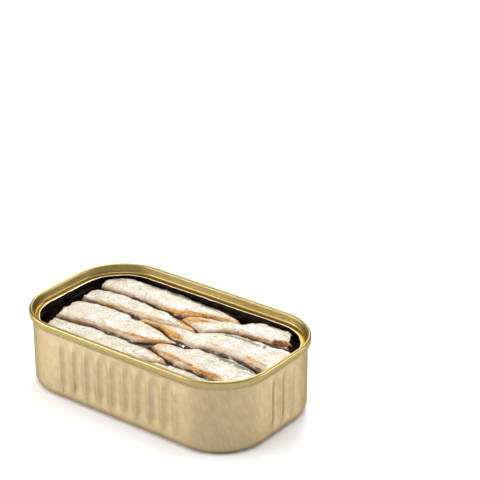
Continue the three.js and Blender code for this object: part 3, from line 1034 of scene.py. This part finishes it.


# %% [markdown]
# ## Skin, flesh and oil
# A canned sardine's skin is silver over cream, rubbed through in places to golden flesh, and wet
# with oil. The stains that the points carry choose the colour, a noise frays their edges, and a
# clear coat stands for the oil. Painted shade darkens the far side, the near flank and the
# valleys of each fish.

# %% Colour the fish
def sardine_skin():
    finish = Finish("sardine_skin")
    place = finish.place()
    streaks = finish.noise(finish.place((0.3, 1, 1)), 1.6, 4, 0.6)
    mottle = finish.noise(place, 3.4, 4, 0.6)
    speck = finish.noise(place, 0.9, 3, 0.6)
    cloud = finish.noise(place, 8, 3)
    fray = (mottle - 0.5) * 0.7 + (streaks - 0.5) * 0.6
    pale = finish.step(mottle * 0.25 + streaks * 0.35 + speck * 0.4, 0.4, 0.56)
    base = finish.mix(pale, colour(190, 176, 146), colour(222, 218, 208))
    warm = finish.step(cloud * 0.3 + mottle * 0.45 + streaks * 0.25, 0.5, 0.64)
    base = finish.mix(warm * 0.65, base, colour(200, 170, 118))
    dusk = finish.step(streaks * 0.6 + speck * 0.15 + mottle * 0.25, 0.55, 0.65)
    base = finish.mix(dusk * 0.5, base, colour(140, 114, 76))
    # The far side of every fish, away from the camera, is darkened: partly the darker skin of its back,
    # partly painted shade where it turns down into the valley behind it.
    back = finish.step(finish.field("flank") + fray * 0.6 + (speck - 0.5) * 0.3, 0.7, 1.0)
    base = finish.mix(back * 0.7, base, colour(112, 100, 80))
    # The near flank of every fish, turned to the camera, is painted golden brown: partly the flank's
    # own golden colour, partly painted shade where it turns down.
    side = finish.step(finish.field("flank") * -1 + fray * 0.5, 0.55, 1.0)
    base = finish.mix(side * 0.85, base, colour(168, 118, 48))
    grey = finish.step(finish.field("grey") + fray * 1.6 + (speck - 0.5) * 5, 0.4, 1.4)
    base = finish.mix(grey * 0.85, base, colour(66, 67, 66))
    browned = finish.step(streaks * 0.6 + speck * 0.4, 0.42, 0.62)
    amber = finish.mix(browned, colour(208, 146, 44), colour(132, 80, 16))
    gold = finish.step(finish.field("gold") + fray, 0.0, 1.5)
    base = finish.mix(gold * 0.95, base, amber)
    ends = finish.step(finish.field("from_cut") * -1 + fray * 1.5, -2.4, -0.2)
    base = finish.mix(ends * 0.5, base, colour(190, 150, 94))
    flesh = finish.field("flesh")
    meat = finish.mix(finish.step(mottle, 0.4, 0.62), colour(176, 136, 88), colour(222, 206, 178))
    base = finish.mix(flesh, base, meat)
    tails = finish.step(finish.field("fullness") * -1 + fray * 0.4, -0.5, 0.0)
    base = finish.mix(tails * 0.75, base, colour(196, 148, 80))
    brown = finish.step(finish.field("brown") + fray * 0.5, 0.2, 1.0)
    base = finish.mix(brown * 0.9, base, colour(104, 56, 20))
    # Points far below the crown are painted dark brown: painted shade deep in the valleys between the
    # fish and down by the oil.
    low = finish.step(finish.field("below_ridge") + fray * 0.6, 1.15, 2.1)
    base = finish.mix(low * 0.9, base, colour(62, 42, 26))
    finish.surface(Base_Color=base, Roughness=0.24 + speck * 0.2)
    relief = streaks * 0.8 + speck * 0.35 + mottle * 0.8
    finish.surface(Normal=finish.bump(relief, 0.55, 0.9))
    wet = finish.step(streaks * 0.5 + cloud * 0.5, 0.4, 0.58) * 0.8 + 0.15
    finish.surface(Coat_Weight=wet * (1 - gold) * (1 - grey))
    finish.surface(Coat_Roughness=0.12, Specular_IOR_Level=0.35)
    return finish.material


def oil_in_painted_shade():
    finish = Finish("oil")
    swirl = finish.noise(finish.place(), 5, 2)
    # The oil is painted near black: painted shade, for clear oil lying in the tin's shadow. Within 1.6
    # mm of a fish or the wall it is brown instead.
    base = finish.mix(finish.step(swirl, 0.4, 0.6), colour(12, 7, 7), colour(26, 15, 15))
    shallow = 1 - finish.step(finish.field("wetted"), 0, 1.6)
    base = finish.mix(shallow, base, colour(62, 42, 30))
    finish.surface(Base_Color=base, Roughness=0.06 + swirl * 0.03)
    finish.surface(Specular_IOR_Level=0.4)
    return finish.material


def gut_skin():
    finish = Finish("gut_skin")
    mottle = finish.noise(finish.place((0.4, 1, 1)), 1.2, 4)
    base = finish.mix(finish.step(mottle, 0.4, 0.6), colour(92, 42, 12), colour(170, 96, 36))
    finish.surface(Base_Color=base, Roughness=0.2 + mottle * 0.1)
    finish.surface(Normal=finish.bump(mottle, 0.3, 0.6))
    return finish.material


# %% [markdown]
# ## Dressing the pieces
# Each piece gets one material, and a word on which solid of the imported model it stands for.
# The fish could each have a copy of the skin, but one is enough, as the points differ.

# %% Put the finishes on
def wear(piece, material, slot, *nodes):
    """Gives a piece its material, lets it ride with the tin and stand for its nodes.
    The slot is not used.
    """
    piece.data.materials.append(material)
    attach(piece, "root")
    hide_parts(*nodes)
    print(f"{piece.name} wears {material.name}, {len(material.node_tree.nodes)} nodes")


wear(can, gold_lacquer(), "gold_lacquer", "can_body")
wear(rim, gold_rim(), "gold_rim", "rim")
skin = sardine_skin()
for fish, piece in zip(sardines, fish_pieces):
    wear(piece, skin, "sardine_skin", fish.name)
wear(oil, oil_in_painted_shade(), "oil", "oil")
wear(gut, gut_skin(), "sardine_skin", "sardine_right_1")

# %% [markdown]
# ## The studio
# Metal shows what it mirrors, so each lamp is placed for its reflection. The sky is bright only
# overhead, which lights the fish and the white floor. A wide, low lamp on the left shows in the
# left slope of every flute, one on the right lights the end wall, and a small one behind puts the
# glints on the wet skin. An even sky would be simpler, but the ribs would hardly show in it.

# %% The floor and the lamps
floor_size = 6000
floor_points = np.array([[-1, -1, 0], [1, -1, 0], [1, 1, 0], [-1, 1, 0]]) * floor_size / 2
floor = add_mesh("floor", floor_points, [np.array([[0, 1, 2, 3]])])
floor_finish = Finish("floor")
floor_finish.surface(Base_Color=colour(246, 246, 246), Roughness=0.9)
floor.data.materials.append(floor_finish.material)


def lamp(name, place, width, height, power):
    """A flat lamp that looks at the tin, with its place and size in millimetres."""
    data = bpy.data.lights.new(name, "AREA")
    data.shape = "RECTANGLE"
    data.size = width * MM
    data.size_y = height * MM
    data.energy = power
    light = bpy.data.objects.new(name, data)
    place = np.array(place, float)
    back = place / np.linalg.norm(place)
    side = np.cross([0, 0, 1], back)
    side /= max(np.linalg.norm(side), 1e-6)
    stand(light, side, np.cross(back, side), back, place)
    light.visible_camera = False
    bpy.context.scene.collection.objects.link(light)
    print(f"{name}: {width} x {height} mm, {power} W")


lamp("left_lamp", (-647, -572, 250), 860, 480, 8)
lamp("right_lamp", (700, 560, 190), 360, 360, 3.5)
lamp("back_lamp", (-290, 560, 640), 200, 200, 4)

overhead = (0.04, -0.02, 0.98)
sky = {"From Min": 0.75, "From Max": 0.98, "To Min": 0.3, "To Max": 3.4}
world = bpy.data.worlds.new("studio")
world.use_nodes = True
world_nodes = world.node_tree.nodes
world_links = world.node_tree.links
heading = world_nodes.new("ShaderNodeTexCoord")
facing = world_nodes.new("ShaderNodeVectorMath")
facing.operation = "DOT_PRODUCT"
facing.inputs[1].default_value = overhead
brightness = world_nodes.new("ShaderNodeMapRange")
brightness.interpolation_type = "SMOOTHSTEP"
for socket, value in sky.items():
    brightness.inputs[socket].default_value = value
world_links.new(heading.outputs["Generated"], facing.inputs[0])
world_links.new(facing.outputs["Value"], brightness.inputs["Value"])
world_links.new(brightness.outputs["Result"], world_nodes["Background"].inputs["Strength"])
world_nodes["Background"].inputs["Color"].default_value = (1, 1, 1, 1)
bpy.context.scene.world = world
bpy.context.scene.view_settings.view_transform = "Standard"
